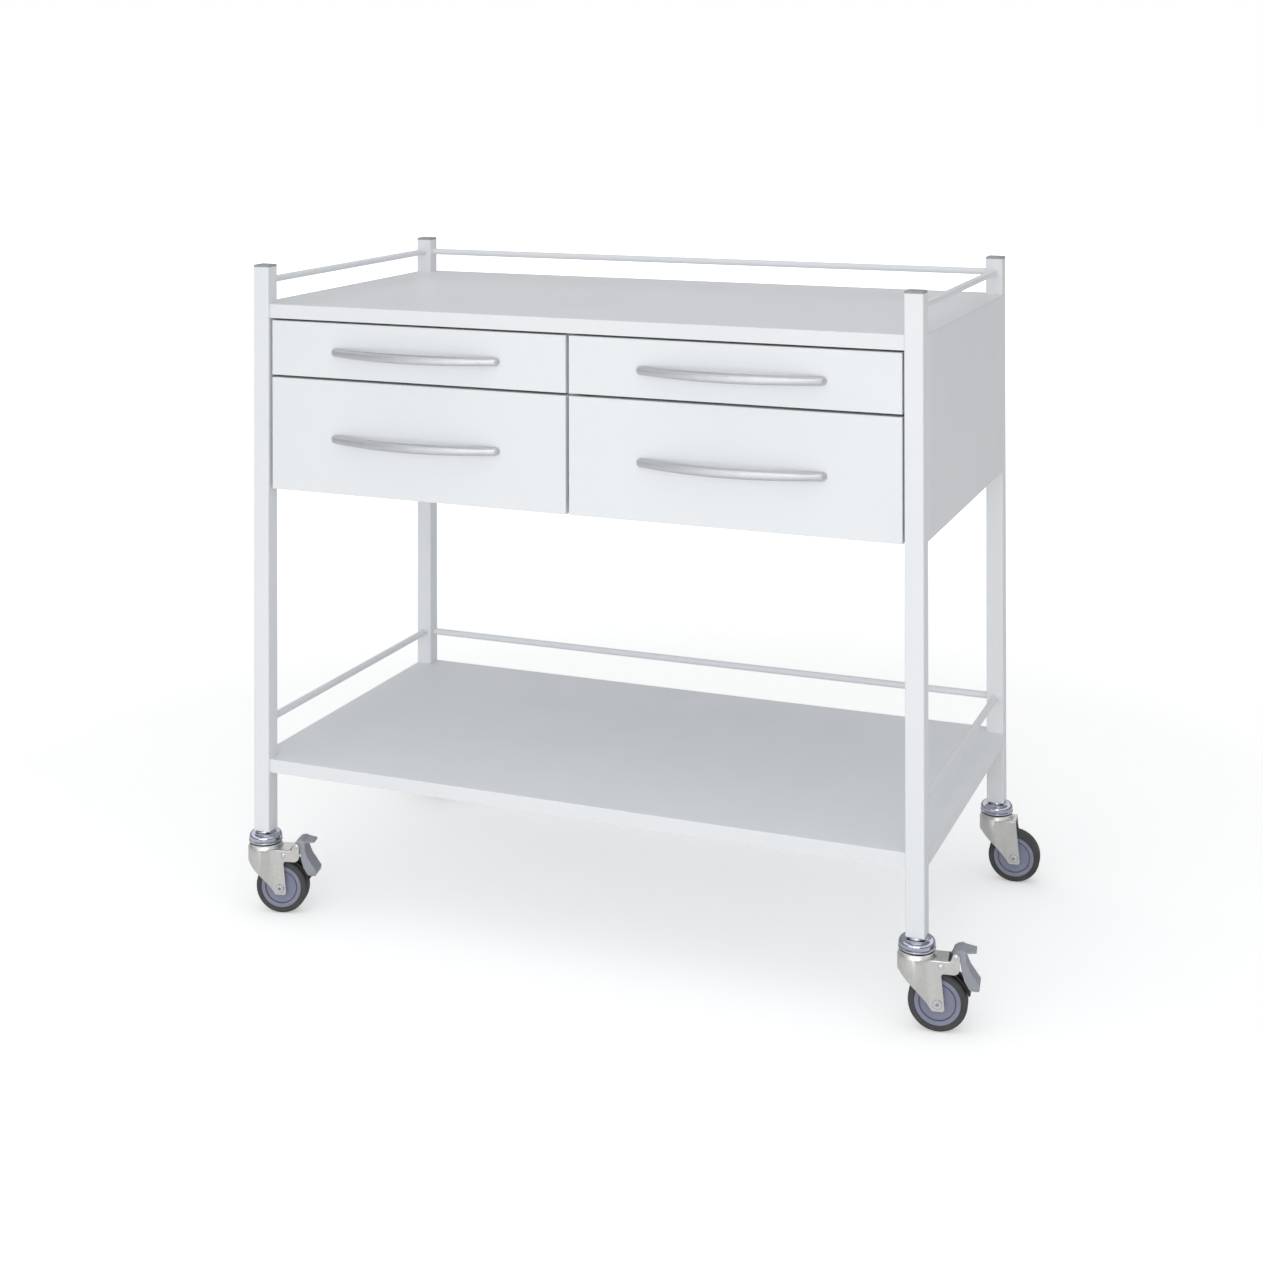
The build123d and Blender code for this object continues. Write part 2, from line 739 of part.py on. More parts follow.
# The pedal rocks on its pin: a hood that tapers to the upper tip is pressed to brake, and a
# tongue with deep flanges that hangs behind the wheel is pressed to release
with BuildPart() as pedal_hood_plate:
    with BuildSketch(Plane.XZ):
        with BuildLine():
            Polyline(*pedal_hood)
        trace(line_width=pedal_wall)
    extrude(amount=pedal_half_width, both=True)
    hood_back, hood_root, hood_tip = pedal_hood[0][0], pedal_hood[3][0], pedal_hood[4][0]
    with BuildSketch(Plane.XY) as hood_plan:
        with BuildLine():
            Polyline(
                (hood_back - pedal_wall, pedal_half_width),
                (hood_root, pedal_half_width),
                (hood_tip, hood_tip_half_width),
                (hood_tip, -hood_tip_half_width),
                (hood_root, -pedal_half_width),
                (hood_back - pedal_wall, -pedal_half_width),
                close=True,
            )
        make_face()
        fillet(hood_plan.vertices().group_by(Axis.X)[-1], hood_tip_corner)
    extrude(amount=post_bottom, mode=Mode.INTERSECT)

with BuildPart() as pedal_channel:
    with BuildSketch(Plane.XZ) as pedal_side_view:
        Polygon(*pedal_hood[:3], *pedal_face, *pedal_flange_back, align=None)
        fillet(pedal_side_view.vertices().group_by(Axis.Y)[0], pedal_toe_corner)
    extrude(amount=pedal_half_width, both=True)
    with BuildSketch(Plane.YZ) as pedal_front_view:
        with Locations((0, pedal_face[-1][1])):
            Rectangle(2 * pedal_half_width, post_bottom, align=(Align.CENTER, Align.MIN))
        fillet(pedal_front_view.vertices().group_by(Axis.Y)[0], tongue_corner)
    extrude(amount=2 * hood_tip, mode=Mode.INTERSECT)
    # The channel between the flanges is open towards the wheel
    with BuildSketch(Plane.XZ):
        with Locations((-pedal_wall / cos(radians(pedal_face_lean)), 0)):
            add(pedal_side_view.sketch)
    extrude(amount=pedal_half_width - pedal_wall, both=True, mode=Mode.SUBTRACT)

with BuildPart() as brake_pedal:
    add(pedal_hood_plate.part)
    add(pedal_channel.part)
    with BuildSketch(Plane.XZ):
        with Locations(pedal_pin):
            Circle(pedal_barrel)
    extrude(amount=pedal_half_width, both=True)
    with BuildSketch(Plane.XZ):
        with Locations(pedal_pin):
            Circle(pedal_pin_radius + running_play)
    extrude(amount=pedal_half_width, both=True, mode=Mode.SUBTRACT)

# The shoe's lever: a boss on its rivet and a curved band over the tread
shoe_inner = wheel_radius + shoe_gap
shoe_outer = shoe_inner + shoe_thickness
shoe_mid_angle = (shoe_start_angle + shoe_end_angle) / 2


def on_wheel(radius, angle):
    """The point at this radius from the axle, at this angle above the horizontal."""
    return (trail + radius * cos(radians(angle)), wheel_radius + radius * sin(radians(angle)))


with BuildPart() as brake_shoe:
    with BuildSketch(Plane.XZ):
        with BuildLine():
            for radius in (shoe_inner, shoe_outer):
                ThreePointArc(
                    on_wheel(radius, shoe_start_angle),
                    on_wheel(radius, shoe_mid_angle),
                    on_wheel(radius, shoe_end_angle),
                )
            for angle in (shoe_start_angle, shoe_end_angle):
                Line(on_wheel(shoe_inner, angle), on_wheel(shoe_outer, angle))
        make_face()
        with Locations(shoe_pin):
            Circle(shoe_boss)
            Circle(shoe_pin_radius + running_play, mode=Mode.SUBTRACT)
    extrude(amount=shoe_half_width, both=True)

# Each caster stands turned a few degrees of its own, as they do when a cart is parked
for corner, x, y, turn in (
    ("front_left", -post_x, -post_y, 14),
    ("front_right", post_x, -post_y, 9),
    ("rear_left", -post_x, post_y, 3),
    ("rear_right", post_x, post_y, 6),
):
    braked = y < 0
    keep(braked_fork if braked else plain_fork, f"{corner}_fork", x, y, turn)
    keep(axle_bolt, f"{corner}_axle", x, y, turn)
    keep(wheel_hub, f"{corner}_wheel_hub", x, y, turn)
    keep(tyre, f"{corner}_tyre", x, y, turn)
    if braked:
        keep(brake_pins, f"{corner}_brake_pins", x, y, turn)
        keep(brake_pedal, f"{corner}_brake_pedal", x, y, turn)
        keep(brake_shoe, f"{corner}_brake_shoe", x, y, turn)
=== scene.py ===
import json
import math

import bmesh
import bpy
from mathutils import Matrix, Vector, noise


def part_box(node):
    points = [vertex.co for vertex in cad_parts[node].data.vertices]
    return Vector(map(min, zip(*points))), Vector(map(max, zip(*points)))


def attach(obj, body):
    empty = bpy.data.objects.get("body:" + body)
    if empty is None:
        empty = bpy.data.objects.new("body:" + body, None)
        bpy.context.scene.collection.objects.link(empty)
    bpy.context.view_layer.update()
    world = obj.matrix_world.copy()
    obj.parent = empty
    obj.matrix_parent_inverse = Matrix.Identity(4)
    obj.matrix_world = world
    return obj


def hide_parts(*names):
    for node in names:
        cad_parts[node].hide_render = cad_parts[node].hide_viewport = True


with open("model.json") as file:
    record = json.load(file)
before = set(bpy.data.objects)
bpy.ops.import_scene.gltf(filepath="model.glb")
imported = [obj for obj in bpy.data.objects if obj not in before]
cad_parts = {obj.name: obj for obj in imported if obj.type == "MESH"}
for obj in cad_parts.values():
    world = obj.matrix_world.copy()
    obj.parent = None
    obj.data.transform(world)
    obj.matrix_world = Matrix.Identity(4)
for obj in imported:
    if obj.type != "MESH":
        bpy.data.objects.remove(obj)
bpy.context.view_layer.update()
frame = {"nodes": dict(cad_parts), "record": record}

MM = 0.001
NODES = frame["nodes"]
CORNERS = [f"{end}_{side}" for end in ("front", "rear") for side in ("left", "right")]
DRAWERS = [f"{level}_{side}" for level in ("upper", "lower") for side in ("left", "right")]


# ---------------------------------------------------------------- material helpers

def new_material(name):
    """An empty node tree with a Principled shader, its output and a position source."""
    material = bpy.data.materials.new(name)
    material.use_nodes = True
    tree = material.node_tree
    shader = tree.nodes["Principled BSDF"]
    place = tree.nodes.new("ShaderNodeNewGeometry").outputs["Position"]
    return material, tree, shader, place


def add_noise(tree, place, scale, detail=2.0, stretch=(1, 1, 1)):
    """Noise sampled at the position, in features of about 1/scale metres."""
    mapping = tree.nodes.new("ShaderNodeMapping")
    mapping.inputs["Scale"].default_value = stretch
    tree.links.new(place, mapping.inputs["Vector"])
    texture = tree.nodes.new("ShaderNodeTexNoise")
    texture.inputs["Scale"].default_value = scale
    texture.inputs["Detail"].default_value = detail
    tree.links.new(mapping.outputs[0], texture.inputs["Vector"])
    return texture.outputs["Fac"]


def add_range(tree, value, low, high, from_low=0.3, from_high=0.7):
    """The value remapped to low..high."""
    node = tree.nodes.new("ShaderNodeMapRange")
    node.inputs["From Min"].default_value = from_low
    node.inputs["From Max"].default_value = from_high
    node.inputs["To Min"].default_value = low
    node.inputs["To Max"].default_value = high
    tree.links.new(value, node.inputs["Value"])
    return node.outputs["Result"]


def add_mix(tree, factor, first, second):
    """A colour mixed between two colours or colour outputs by the factor."""
    node = tree.nodes.new("ShaderNodeMix")
    node.data_type = "RGBA"
    if isinstance(factor, float):
        node.inputs["Factor"].default_value = factor
    else:
        tree.links.new(factor, node.inputs["Factor"])
    for socket, colour in ((node.inputs[6], first), (node.inputs[7], second)):
        if isinstance(colour, tuple):
            socket.default_value = (*colour, 1)
        else:
            tree.links.new(colour, socket)
    return node.outputs[2]


def add_bump(tree, shader, heights):
    """Chains bump nodes for (height output, strength, distance in metres)."""
    normal = None
    for height, strength, distance in heights:
        bump = tree.nodes.new("ShaderNodeBump")
        bump.inputs["Strength"].default_value = strength
        bump.inputs["Distance"].default_value = distance
        tree.links.new(height, bump.inputs["Height"])
        if normal is not None:
            tree.links.new(normal, bump.inputs["Normal"])
        normal = bump.outputs["Normal"]
    tree.links.new(normal, shader.inputs["Normal"])


def edge_mask(tree, radius):
    """About 0 on flat faces and rising to 1 on edges sharper than the radius."""
    bevel = tree.nodes.new("ShaderNodeBevel")
    bevel.samples = 4
    bevel.inputs["Radius"].default_value = radius
    geometry = tree.nodes.new("ShaderNodeNewGeometry")
    dot = tree.nodes.new("ShaderNodeVectorMath")
    dot.operation = "DOT_PRODUCT"
    tree.links.new(bevel.outputs["Normal"], dot.inputs[0])
    tree.links.new(geometry.outputs["Normal"], dot.inputs[1])
    return add_range(tree, dot.outputs["Value"], 1.0, 0.0, 0.75, 0.99)


def crevice_mask(tree, reach):
    """About 0 deep in corners narrower than the reach, and 1 on open faces; it marks where shade is
    painted.
    """
    occlusion = tree.nodes.new("ShaderNodeAmbientOcclusion")
    occlusion.samples = 6
    occlusion.inputs["Distance"].default_value = reach
    return add_range(tree, occlusion.outputs["AO"], 0.0, 1.0, 0.25, 0.85)


# ---------------------------------------------------------------- materials

def powder_coat(name, colour, shade):
    """Semi-gloss powder coat: faint orange peel, cloudy tone, duller where it is handled."""
    material, tree, shader, place = new_material(name)
    clouds = add_noise(tree, place, 3.0, 3.0)
    specks = add_noise(tree, place, 900.0, 1.0)
    tone = add_mix(tree, add_range(tree, clouds, 0.0, 1.0), colour, shade)
    grain = add_mix(tree, add_range(tree, specks, 0.0, 0.12, 0.45, 0.75), tone, shade)
    worn = tuple(c * 0.93 for c in shade)
    edges = tree.nodes.new("ShaderNodeMath")
    edges.operation = "MULTIPLY"
    tree.links.new(edge_mask(tree, 0.8 * MM), edges.inputs[0])
    tree.links.new(add_range(tree, add_noise(tree, place, 60.0, 4.0), 0.0, 0.5, 0.45, 0.7),
                   edges.inputs[1])
    tree.links.new(add_mix(tree, edges.outputs[0], grain, worn), shader.inputs["Base Color"])
    tree.links.new(add_range(tree, add_noise(tree, place, 14.0, 4.0), 0.34, 0.46),
                   shader.inputs["Roughness"])
    shader.inputs["Specular IOR Level"].default_value = 0.42
    add_bump(tree, shader, [
        (add_noise(tree, place, 420.0, 2.0), 0.10, 0.12 * MM),
        (add_noise(tree, place, 18.0, 1.0), 0.05, 0.5 * MM),
    ])
    return material


def plated_steel(name, colour, shade, rough, streak=(1, 1, 1), streak_scale=300.0, dents=0.10):
    """Zinc or chrome plating: metal with a faint grain, blotches, small scratches and painted shade
    in its crevices.
    """
    material, tree, shader, place = new_material(name)
    shader.inputs["Metallic"].default_value = 1.0
    blotches = add_range(tree, add_noise(tree, place, 70.0, 4.0), 0.0, 1.0)
    # Painted shade: crevices narrower than 3.5 mm, such as the neck under the post and the rims of
    # rivet heads and pins, darken to a fifth of the darker tone.
    painted_crevice_shade = tuple(c * 0.22 for c in shade)
    tone = add_mix(tree, blotches, colour, shade)
    tree.links.new(add_mix(tree, crevice_mask(tree, 3.5 * MM), painted_crevice_shade, tone),
                   shader.inputs["Base Color"])
    grain = add_noise(tree, place, streak_scale, 3.0, streak)
    tree.links.new(add_range(tree, grain, rough * 0.75, rough * 1.35), shader.inputs["Roughness"])
    add_bump(tree, shader, [
        (grain, 0.12, 0.05 * MM),
        (add_noise(tree, place, 90.0, 2.0), dents, 0.15 * MM),
    ])
    return material


def moulded(name, colour, shade, rough, texture_scale, texture_depth, specular=0.4):
    """Moulded plastic or rubber: fine surface texture, uneven tone and scuffed edges."""
    material, tree, shader, place = new_material(name)
    tone = add_mix(tree, add_range(tree, add_noise(tree, place, 45.0, 4.0), 0.0, 1.0),
                   colour, shade)
    scuffed = tuple(min(1.0, c * 1.6 + 0.02) for c in colour)
    scuffs = tree.nodes.new("ShaderNodeMath")
    scuffs.operation = "MULTIPLY"
    tree.links.new(edge_mask(tree, 0.7 * MM), scuffs.inputs[0])
    tree.links.new(add_range(tree, add_noise(tree, place, 160.0, 3.0), 0.0, 0.6, 0.45, 0.65),
                   scuffs.inputs[1])
    tree.links.new(add_mix(tree, scuffs.outputs[0], tone, scuffed), shader.inputs["Base Color"])
    grain = add_noise(tree, place, texture_scale, 2.0)
    tree.links.new(add_range(tree, grain, rough - 0.07, rough + 0.09), shader.inputs["Roughness"])
    shader.inputs["Specular IOR Level"].default_value = specular
    add_bump(tree, shader, [(grain, 0.35, texture_depth)])
    return material


MATERIALS = {
    "white_powder_coat": powder_coat("white_powder_coat", (0.805, 0.82, 0.84), (0.78, 0.80, 0.825)),
    "drawer_paint": powder_coat("drawer_paint", (0.805, 0.83, 0.845), (0.785, 0.81, 0.83)),
    "grey_cap_plastic": moulded("grey_cap_plastic", (0.36, 0.37, 0.39), (0.31, 0.32, 0.34),
                                0.5, 1500.0, 0.06 * MM),
    "satin_aluminium": plated_steel("satin_aluminium", (0.66, 0.67, 0.69), (0.63, 0.64, 0.66),
                                    0.45, (0.03, 1, 1), 2500.0, 0.03),
    "zinc_steel": plated_steel("zinc_steel", (0.74, 0.735, 0.71), (0.69, 0.685, 0.665),
                               0.34, dents=0.04),
    "bright_zinc": plated_steel("bright_zinc", (0.80, 0.81, 0.86), (0.68, 0.69, 0.75), 0.18),
    "chrome": plated_steel("chrome", (0.60, 0.62, 0.71), (0.46, 0.48, 0.57), 0.11),
    "pedal_steel": moulded("pedal_steel", (0.33, 0.345, 0.385), (0.285, 0.30, 0.34),
                           0.42, 900.0, 0.06 * MM, 0.5),
    "hub_plastic": moulded("hub_plastic", (0.25, 0.265, 0.355), (0.215, 0.23, 0.315),
                           0.45, 1200.0, 0.05 * MM),
    "grey_rubber": moulded("grey_rubber", (0.074, 0.074, 0.073), (0.056, 0.056, 0.055),
                           0.62, 1100.0, 0.08 * MM, 0.3),
    "black_shoe": moulded("black_shoe", (0.022, 0.022, 0.022), (0.015, 0.015, 0.015),
                          0.5, 900.0, 0.08 * MM, 0.35),
}

slots = {row["node"]: row["material_slot"] for row in frame["record"]["subparts"]}


def paint(obj, slot):
    obj.data.materials.clear()
    obj.data.materials.append(MATERIALS[slot])


def soften(obj, width, angle=35):
    """Rounds a node's sharp edges as folded, pressed or moulded ones are."""
    weld = obj.modifiers.new("weld", "WELD")
    weld.merge_threshold = 0.001 * MM
    bevel = obj.modifiers.new("round_edges", "BEVEL")
    bevel.width = width
    bevel.segments = 2
    bevel.limit_method = "ANGLE"
    bevel.angle_limit = math.radians(angle)
    bevel.harden_normals = True


for name, obj in NODES.items():
    paint(obj, "bright_zinc" if name.endswith("_axle") else slots[name])
    if name.endswith(("_fork", "_brake_pedal", "_brake_shoe", "_axle", "_brake_pins")):
        soften(obj, 0.45 * MM)
    elif name in ("post_caps", "swivel_heads"):
        soften(obj, 0.5 * MM)


# ---------------------------------------------------------------- mesh helpers

def add_piece(name, piece_bm, slot, body, cad_node=None, flat_angle=35, place=None, finish=None):
    """Turns a bmesh in metres into a piece that rides on a body.

    The slot is the record's; finish is painted instead where the photo shows it brighter.
    """
    if place is not None:
        bmesh.ops.transform(piece_bm, matrix=place, verts=piece_bm.verts)
    bmesh.ops.remove_doubles(piece_bm, verts=piece_bm.verts, dist=0.001 * MM)
    bmesh.ops.recalc_face_normals(piece_bm, faces=piece_bm.faces)
    mesh = bpy.data.meshes.new(name)
    piece_bm.to_mesh(mesh)
    piece_bm.free()
    obj = bpy.data.objects.new(name, mesh)
    bpy.context.scene.collection.objects.link(obj)
    for polygon in mesh.polygons:
        polygon.use_smooth = True
    mesh.set_sharp_from_angle(angle=math.radians(flat_angle))
    paint(obj, finish or slot)
    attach(obj, body)
    if cad_node:
        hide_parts(cad_node)
    return obj


def loft(piece_bm, rings, closed=False):
    """Skins a list of vertex rings; an open loft gets its two ends capped."""
    loops = [[piece_bm.verts.new(point) for point in ring] for ring in rings]
    pairs = list(zip(loops, loops[1:]))
    if closed:
        pairs.append((loops[-1], loops[0]))
    for first, second in pairs:
        for i in range(len(first)):
            j = (i + 1) % len(first)
            piece_bm.faces.new((first[i], first[j], second[j], second[i]))
    if not closed:
        piece_bm.faces.new(loops[0])
        piece_bm.faces.new(loops[-1])


def lathe(piece_bm, profile, centre, along="Z", steps=96):
    """Turns a closed profile of (radius, height), in mm, about an axis through the centre."""
    rings = []
    for i in range(steps):
        turn = 2 * math.pi * i / steps
        ring = []
        for radius, height in profile:
            a, b = radius * math.cos(turn), radius * math.sin(turn)
            offset = (a, b, height) if along == "Z" else (a, -height, b)
            ring.append(Vector(centre) + Vector(offset) * MM)
        rings.append(ring)
    loft(piece_bm, rings, closed=True)


def arc_points(centre, radius, start, end, count):
    """Points of an arc in the profile plane, angles in degrees."""
    angles = [math.radians(start + (end - start) * i / (count - 1)) for i in range(count)]
    return [(centre[0] + radius * math.cos(a), centre[1] + radius * math.sin(a)) for a in angles]


def box_centre(node):
    low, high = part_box(node)
    return (low + high) / 2


def joint_of(name):
    return next(row for row in frame["record"]["behaviour"]["joints"] if row["name"] == name)


def caster_frame(corner):
    """The caster's own frame: its swivel axis up through the origin, its wheel trailing to +X."""
    middle = box_centre(f"{corner}_post")
    across = joint_of(f"{corner}_wheel_spin")["axis"]
    turn = math.atan2(-across[0], across[1])
    return Matrix.Translation((middle.x, middle.y, 0)) @ Matrix.Rotation(turn, 4, "Z")


def wheel_centre(corner):
    return caster_frame(corner).inverted() @ box_centre(f"{corner}_wheel_hub")


# ---------------------------------------------------------------- handles

def build_handle(name):
    """A bow of satin metal with a convex face, swept between two feet on the drawer front."""
    low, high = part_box(f"{name}_handle")
    half_length = (high.x - low.x) / 2
    half_height = (high.z - low.z) / 2
    reach = high.y - low.y
    middle = (low + high) / 2
    tip_depth, foot, bow = 5.0 * MM, 18.0 * MM, 8.0 * MM
    outer_radius = (half_length ** 2 + (reach - tip_depth) ** 2) / (2 * (reach - tip_depth))
    inner_half = half_length - foot
    inner_rise = reach - bow
    inner_radius = (inner_half ** 2 + inner_rise ** 2) / (2 * inner_rise)
    stations, around = 96, 32
    rings = []
    for i in range(stations + 1):
        along = -math.cos(math.pi * i / stations)
        x = along * half_length
        outer = reach - outer_radius + math.sqrt(outer_radius ** 2 - x ** 2)
        inner = 0.0
        if abs(x) < inner_half:
            inner = max(0.0, inner_rise - inner_radius + math.sqrt(inner_radius ** 2 - x ** 2))
        from_tip = min(1.0, (half_length - abs(x)) / (6.5 * MM))
        swell = math.sqrt(max(0.0, 1 - (1 - from_tip) ** 2))
        belly = 1.10 - 0.22 * (x / half_length) ** 2
        height = half_height * belly * (0.12 + 0.88 * swell)
        outer = inner + (outer - inner) * (0.25 + 0.75 * swell)
        ring = []
        for k in range(around):
            turn = 2 * math.pi * k / around
            c, s = math.cos(turn), math.sin(turn)
            up = math.copysign(abs(s) ** 0.72, s) * height
            forward = math.copysign(abs(c) ** (0.85 if c > 0 else 0.35), c)
            depth = inner + (outer - inner) * (0.5 + 0.5 * forward)
            ring.append((middle.x + x, high.y - depth, middle.z + up))
        rings.append(ring)
    piece_bm = bmesh.new()
    loft(piece_bm, rings)
    add_piece(f"{name}_bow_handle", piece_bm, "satin_aluminium", f"{name}_drawer",
              f"{name}_handle", 60)


def build_handle_screws(name):
    """Two socket screws inside the drawer, one behind each foot of the handle."""
    low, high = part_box(f"{name}_handle")
    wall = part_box(f"{name}_drawer_box")[0].y + 1.0 * MM
    piece_bm = bmesh.new()
    head = [(0.0, -1.2), (1.1, -1.2), (1.2, -2.05), (1.6, -2.0), (2.8, -1.5), (3.5, -0.6),
            (3.6, 0.0), (0.0, 0.0)]
    for x in (low.x + 8.0 * MM, high.x - 8.0 * MM):
        lathe(piece_bm, head, (x, wall, (low.z + high.z) / 2), "Y", 24)
    add_piece(f"{name}_handle_screws", piece_bm, "zinc_steel", f"{name}_drawer")


# ---------------------------------------------------------------- caster pieces

def both_sides(half):
    """A closed lathe profile from the (radius, height) points of its upper half."""
    return half + [(radius, -y) for radius, y in reversed(half)]


def build_tyre(corner):
    """A smooth grey tread with rounded shoulders, a moulded step and a parting line."""
    half = ([(29.5, 11.0), (30.1, 11.5), (31.9, 11.5), (32.2, 11.2), (32.7, 11.2), (33.0, 11.4)]
            + arc_points((32.6, 6.6), 4.9, 75, 8, 9)
            + [(37.45, 4.0), (37.5, 0.35), (37.35, 0.15)])
    piece_bm = bmesh.new()
    lathe(piece_bm, both_sides(half), wheel_centre(corner), "Y", 128)
    add_piece(f"{corner}_tread", piece_bm, "grey_rubber", f"{corner}_wheel", f"{corner}_tyre",
              50, caster_frame(corner))


def build_hub(corner):
    """A moulded hub: bright outer ring, dark groove, shallow dished cover and a boss."""
    half = ([(3.05, 13.3), (6.6, 13.3), (7.3, 12.9), (7.9, 9.7), (8.6, 9.1), (13.0, 8.8),
             (19.5, 9.1), (21.0, 9.6)] + arc_points((21.5, 9.1), 0.6, 90, 0, 4)
            + [(22.2, 7.4), (23.4, 7.4), (23.5, 9.9)] + arc_points((24.3, 10.1), 0.7, 180, 95, 4)
            + [(28.0, 10.8)] + arc_points((28.6, 10.1), 0.7, 88, 30, 4) + [(29.5, 9.8)])
    piece_bm = bmesh.new()
    lathe(piece_bm, both_sides(half), wheel_centre(corner), "Y", 128)
    add_piece(f"{corner}_hub_moulding", piece_bm, "hub_plastic", f"{corner}_wheel",
              f"{corner}_wheel_hub", 40, caster_frame(corner))


def build_rivets(corner):
    """The two rivets of a front caster, each with a domed head peened over at both ends."""
    into_local = caster_frame(corner).inverted()
    wall = 16.0
    piece_bm = bmesh.new()
    for joint, shank, head in (("pedal_press", 2.2, 3.4), ("shoe_press", 2.5, 3.9)):
        half = [(0.0, wall + 1.5), (head - 1.9, wall + 1.4), (head - 1.1, wall + 1.1),
                (head - 0.8, wall + 0.6), (head - 0.35, wall + 0.45), (head, wall + 0.05),
                (head, wall), (shank, wall)]
        pivot = into_local @ Vector(joint_of(f"{corner}_{joint}")["pos_m"])
        lathe(piece_bm, both_sides(half), pivot, "Y", 40)
    add_piece(f"{corner}_rivets", piece_bm, "zinc_steel", f"{corner}_swivel",
              f"{corner}_brake_pins", 40, caster_frame(corner), "bright_zinc")


def build_heads():
    """The four chrome swivel covers: a dome rolling over to a beaded rim, and a neck."""
    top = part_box("front_left_post")[0].z / MM
    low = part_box("swivel_heads")[0].z / MM
    dome = [(16.6, top - 2.6)]
    for i in range(1, 9):
        turn = math.radians(90 - 80 * i / 8)
        dome.append((16.6 + 6.9 * math.cos(turn), low + 6.8 + (top - low - 9.4) * math.sin(turn)))
    profile = ([(6.05, low), (6.05, top), (13.0, top), (13.3, top - 2.2), (14.2, top - 2.9),
                (15.4, top - 2.8)] + dome
               + [(23.6, low + 5.2), (23.1, low + 4.3), (22.9, low + 3.9), (23.3, low + 3.5)]
               + arc_points((22.4, low + 2.0), 1.5, 70, -70, 8)
               + [(22.2, low), (20.5, low), (20.5, low + 4.8), (11.0, low + 4.8), (11.0, low)])
    piece_bm = bmesh.new()
    for corner in CORNERS:
        lathe(piece_bm, profile, box_centre(f"{corner}_post") * Vector((1, 1, 0)), "Z", 96)
    add_piece("swivel_covers", piece_bm, "chrome", "frame", "swivel_heads", 50)


for drawer_name in DRAWERS:
    build_handle(drawer_name)
    build_handle_screws(drawer_name)
for corner_name in CORNERS:
    build_tyre(corner_name)
    build_hub(corner_name)
    if f"{corner_name}_brake_pins" in NODES:
        build_rivets(corner_name)
build_heads()


# ---------------------------------------------------------------- stage, light and camera

def build_stage():
    """A plain pale floor that fades to the studio's white and can't be seen from below."""
    half = 40.0
    mesh = bpy.data.meshes.new("floor")
    floor_bm = bmesh.new()
    around = ((-1, -1), (1, -1), (1, 1), (-1, 1))
    floor_bm.faces.new([floor_bm.verts.new((x * half, y * half, 0)) for x, y in around])
    floor_bm.to_mesh(mesh)
    floor = bpy.data.objects.new("floor", mesh)
    bpy.context.scene.collection.objects.link(floor)
    material, tree, shader, place = new_material("pale_floor")
    tone = add_mix(tree, add_range(tree, add_noise(tree, place, 1.2, 3.0), 0.0, 1.0),
                   (0.93, 0.93, 0.93), (0.915, 0.915, 0.915))
    tree.links.new(tone, shader.inputs["Base Color"])
    shader.inputs["Roughness"].default_value = 0.9
    shader.inputs["Specular IOR Level"].default_value = 0.1
    distance = tree.nodes.new("ShaderNodeVectorMath")
    distance.operation = "LENGTH"
    tree.links.new(place, distance.inputs[0])
    glow = tree.nodes.new("ShaderNodeMath")
    glow.operation = "MULTIPLY"
    tree.links.new(add_range(tree, distance.outputs["Value"], 0.33, 1.0, 1.2, 5.0), glow.inputs[0])
    tree.links.new(tree.nodes.new("ShaderNodeLightPath").outputs["Is Camera Ray"], glow.inputs[1])
    tree.links.new(glow.outputs[0], shader.inputs["Emission Strength"])
    shader.inputs["Emission Color"].default_value = (1, 1, 1, 1)
    below = tree.nodes.new("ShaderNodeNewGeometry").outputs["Backfacing"]
    tree.links.new(add_range(tree, below, 1.0, 0.0, 0.0, 1.0), shader.inputs["Alpha"])
    mesh.materials.append(material)


def area_light(name, place, target, size, power, colour=(1, 1, 1)):
    light = bpy.data.lights.new(name, "AREA")
    light.shape = "RECTANGLE"
    light.size, light.size_y = size
    light.energy = power
    light.color = colour
    obj = bpy.data.objects.new(name, light)
    obj.location = place
    obj.rotation_euler = (Vector(target) - Vector(place)).to_track_quat("-Z", "Y").to_euler()
    bpy.context.scene.collection.objects.link(obj)


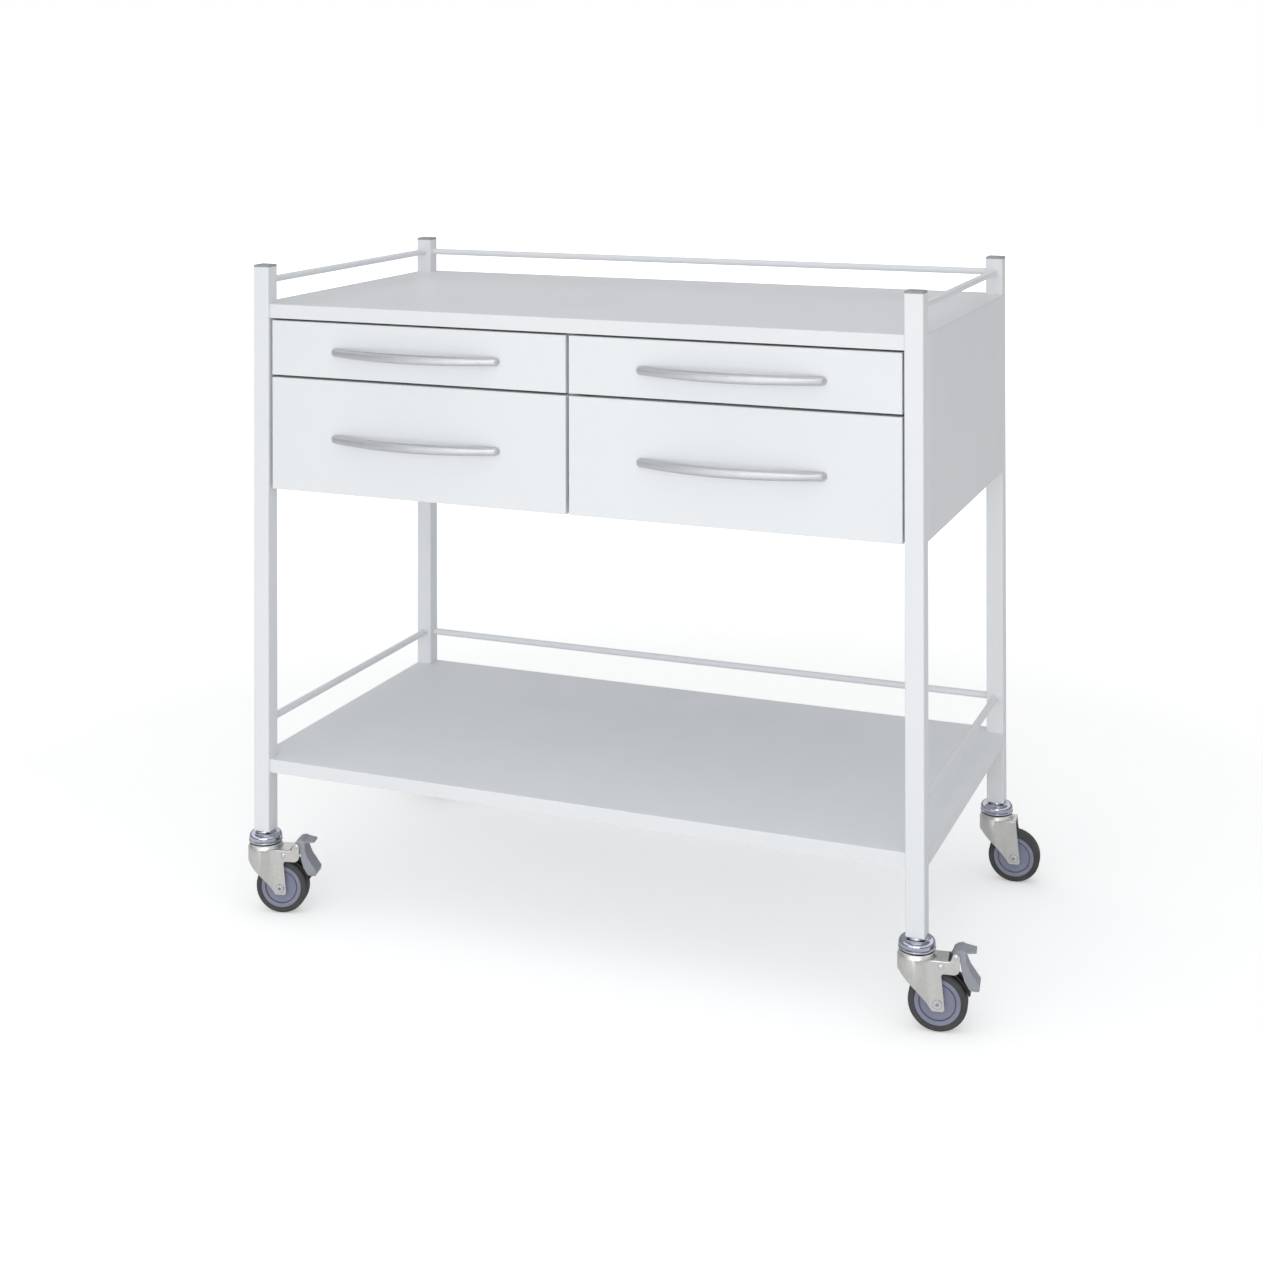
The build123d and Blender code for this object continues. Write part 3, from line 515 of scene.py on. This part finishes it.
def build_light():
    """A white studio, brighter in front, with dark flags that only the shiny metal mirrors."""
    world = bpy.data.worlds.new("studio")
    bpy.context.scene.world = world
    world.use_nodes = True
    tree = world.node_tree
    background = tree.nodes["Background"]
    background.inputs["Strength"].default_value = 1.0
    direction = tree.nodes.new("ShaderNodeTexCoord").outputs["Generated"]
    split = tree.nodes.new("ShaderNodeSeparateXYZ")
    tree.links.new(direction, split.inputs[0])
    slope = tree.nodes.new("ShaderNodeVectorMath")
    slope.operation = "DOT_PRODUCT"
    slope.inputs[1].default_value = (-0.10, -0.30, 0.02)
    tree.links.new(direction, slope.inputs[0])
    surround = add_mix(tree, add_range(tree, slope.outputs["Value"], 0.0, 1.0, -0.4, 0.4),
                       (0.36, 0.37, 0.39), (0.90, 0.90, 0.89))
    flags = tree.nodes.new("ShaderNodeValToRGB")
    stops = ((0.0, 0.5), (0.43, 0.45), (0.50, 0.07), (0.57, 0.12), (0.64, 0.95), (0.80, 1.15),
             (0.86, 0.18), (1.0, 0.50))
    ramp = flags.color_ramp
    for position, value in stops[:-2]:
        ramp.elements.new(position)
    for element, (position, value) in zip(ramp.elements, sorted(stops)):
        element.position = position
        element.color = (value * 0.97, value * 0.98, value, 1)
    tree.links.new(add_range(tree, split.outputs["Z"], 0.0, 1.0, -1.0, 1.0), flags.inputs[0])
    paths = tree.nodes.new("ShaderNodeLightPath")
    lit = add_mix(tree, paths.outputs["Is Glossy Ray"], surround, flags.outputs[0])
    tree.links.new(add_mix(tree, paths.outputs["Is Camera Ray"], lit, (1.0, 1.0, 1.0)),
                   background.inputs["Color"])
    area_light("front_soft_box", (1.0, -3.7, 1.3), (0, 0, 0.45), (2.4, 2.0), 25)
    area_light("shelf_fill", (-0.3, -2.2, 0.55), (0, 0, 0.25), (1.6, 0.4), 4)
    area_light("top_soft_box", (0.4, -0.9, 3.4), (0, 0, 0.6), (2.2, 2.2), 9)
    bpy.context.scene.view_settings.view_transform = "Standard"


def build_camera():
    """An upright camera with its lens shifted down, so the posts stay parallel."""
    image, focal = 1262.0, 2006.2
    centre_x, centre_y = 613.6, 67.5
    sensor = 36.0
    data = bpy.data.cameras.new("camera")
    camera = bpy.data.objects.new("camera", data)
    bpy.context.scene.collection.objects.link(camera)
    data.sensor_width = sensor
    data.lens = focal / image * sensor
    data.clip_end = 100
    yaw, pitch, roll = math.radians(22.080), math.radians(-0.147), math.radians(-0.087)
    camera.rotation_mode = "XYZ"
    camera.location = (1.0775, -2.7473, 1.2054)
    look = Matrix.Rotation(yaw, 4, "Z") @ Matrix.Rotation(math.pi / 2 - pitch, 4, "X")
    camera.rotation_euler = (look @ Matrix.Rotation(roll, 4, "Z")).to_euler("XYZ")
    # The shift holds for this upright view; a camera turned by quaternion gets none.
    for path, shift in (("shift_x", (image / 2 - centre_x) / image),
                        ("shift_y", (centre_y - image / 2) / image)):
        driver = data.driver_add(path).driver
        variable = driver.variables.new()
        variable.name = "mode"
        variable.targets[0].id = camera
        variable.targets[0].data_path = "rotation_mode"
        driver.expression = f"mode * {shift:.6f}"
    bpy.context.scene.camera = camera


build_stage()
build_light()
build_camera()
